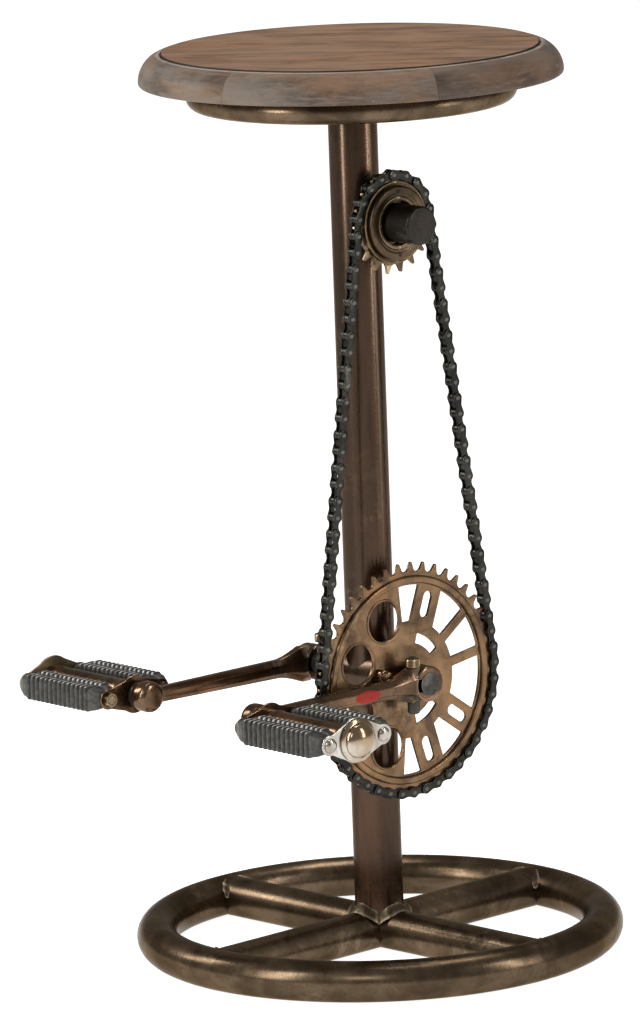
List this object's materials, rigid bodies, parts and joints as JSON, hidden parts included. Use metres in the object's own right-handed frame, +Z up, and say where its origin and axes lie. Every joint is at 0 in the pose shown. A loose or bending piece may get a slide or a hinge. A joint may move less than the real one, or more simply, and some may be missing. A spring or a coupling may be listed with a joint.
{
  "type": "bar stool",
  "caption": "Bar stool with a round wooden seat on a tube post and ring base, and a bicycle crank drive with chain, chainring and pedals as its foot-rest.",
  "frame": {"origin": "on the floor under the post, at the middle of the ring base", "axes": "+Z up, +X along the crank axle toward the chain side, -Y forward, where the cranks point"},
  "size_m": [0.3847, 0.4, 0.7095],
  "materials": {
    "bronze_lacquer": "worn clear lacquer over browned steel",
    "copper_bronze": "worn copper bronze lacquer",
    "chain_steel": "oiled black steel",
    "bare_steel": "bare",
    "brassy_steel": "worn bronze lacquer",
    "bright_plate": "worn plating",
    "dark_steel": "blackened",
    "pedal_rubber": "dusty, worn ribs",
    "panel_wood": "oiled",
    "rim_wood": "weathered"
  },
  "bodies": {
    "stand": {"base_cross_tube": "bronze_lacquer", "base_ring": "bronze_lacquer", "base_spoke_front": "bronze_lacquer", "base_spoke_rear": "bronze_lacquer", "bb_bearing_left": "bare_steel", "bb_bearing_right": "bare_steel", "bb_cup_left": "dark_steel", "bb_cup_right": "dark_steel", "bb_shell": "bronze_lacquer", "chain": "chain_steel", "freewheel_body": "brassy_steel", "freewheel_lockring": "brassy_steel", "freewheel_sleeve": "bare_steel", "freewheel_stub": "bronze_lacquer", "post_lower": "bronze_lacquer", "post_upper": "bronze_lacquer", "seat_bar_front": "bronze_lacquer", "seat_bar_rear": "bronze_lacquer", "seat_bar_side": "bronze_lacquer", "seat_panel": "panel_wood", "seat_rim": "rim_wood", "seat_ring": "bronze_lacquer", "seat_screw_front": "bare_steel", "seat_screw_left": "bare_steel", "seat_screw_rear": "bare_steel", "seat_screw_right": "bare_steel"},
    "crankset": {"crank_axle": "bare_steel", "right_crank": "copper_bronze", "left_crank": "copper_bronze", "chainring": "copper_bronze", "drive_pin": "bare_steel", "right_cotter": "dark_steel", "left_cotter": "dark_steel", "right_cotter_nut": "brassy_steel", "left_cotter_nut": "brassy_steel", "right_pedal_spindle": "dark_steel", "left_pedal_spindle": "dark_steel"},
    "freewheel": {"freewheel_sprocket": "brassy_steel"},
    "left_pedal": {"left_pedal_barrel": "copper_bronze", "left_pedal_inner_plate": "copper_bronze", "left_pedal_outer_plate": "brassy_steel", "left_pedal_dust_cap": "brassy_steel", "left_pedal_front_rubber": "pedal_rubber", "left_pedal_rear_rubber": "pedal_rubber", "left_pedal_front_bolt": "bare_steel", "left_pedal_rear_bolt": "bare_steel", "left_pedal_front_nut": "bare_steel", "left_pedal_rear_nut": "bare_steel"},
    "right_pedal": {"right_pedal_barrel": "copper_bronze", "right_pedal_inner_plate": "copper_bronze", "right_pedal_outer_plate": "bright_plate", "right_pedal_dust_cap": "bright_plate", "right_pedal_front_rubber": "pedal_rubber", "right_pedal_rear_rubber": "pedal_rubber", "right_pedal_front_bolt": "bare_steel", "right_pedal_rear_bolt": "bare_steel", "right_pedal_front_nut": "bare_steel", "right_pedal_rear_nut": "bare_steel"}
  },
  "joints": [
    {"name": "crank_spin", "type": "hinge", "parent": "stand", "child": "crankset", "pos_m": [0, 0, 0.219], "axis": [1, 0, 0], "range_deg": [-229.09, 49.09], "deforming": ["chain"]},
    {"name": "freewheel_spin", "type": "hinge", "parent": "stand", "child": "freewheel", "pos_m": [0, 0, 0.57708], "axis": [1, 0, 0], "range_deg": [-560.5, 120.5]},
    {"name": "left_pedal_spin", "type": "hinge", "parent": "crankset", "child": "left_pedal", "pos_m": [-0.0689, -0.17, 0.219], "axis": [1, 0, 0], "continuous": true},
    {"name": "right_pedal_spin", "type": "hinge", "parent": "crankset", "child": "right_pedal", "pos_m": [0.0594, -0.17, 0.219], "axis": [1, 0, 0], "continuous": true}
  ],
  "couplings": [
    {"joint": "freewheel_spin", "follows": "crank_spin", "ratio": 2.4444}
  ]
}
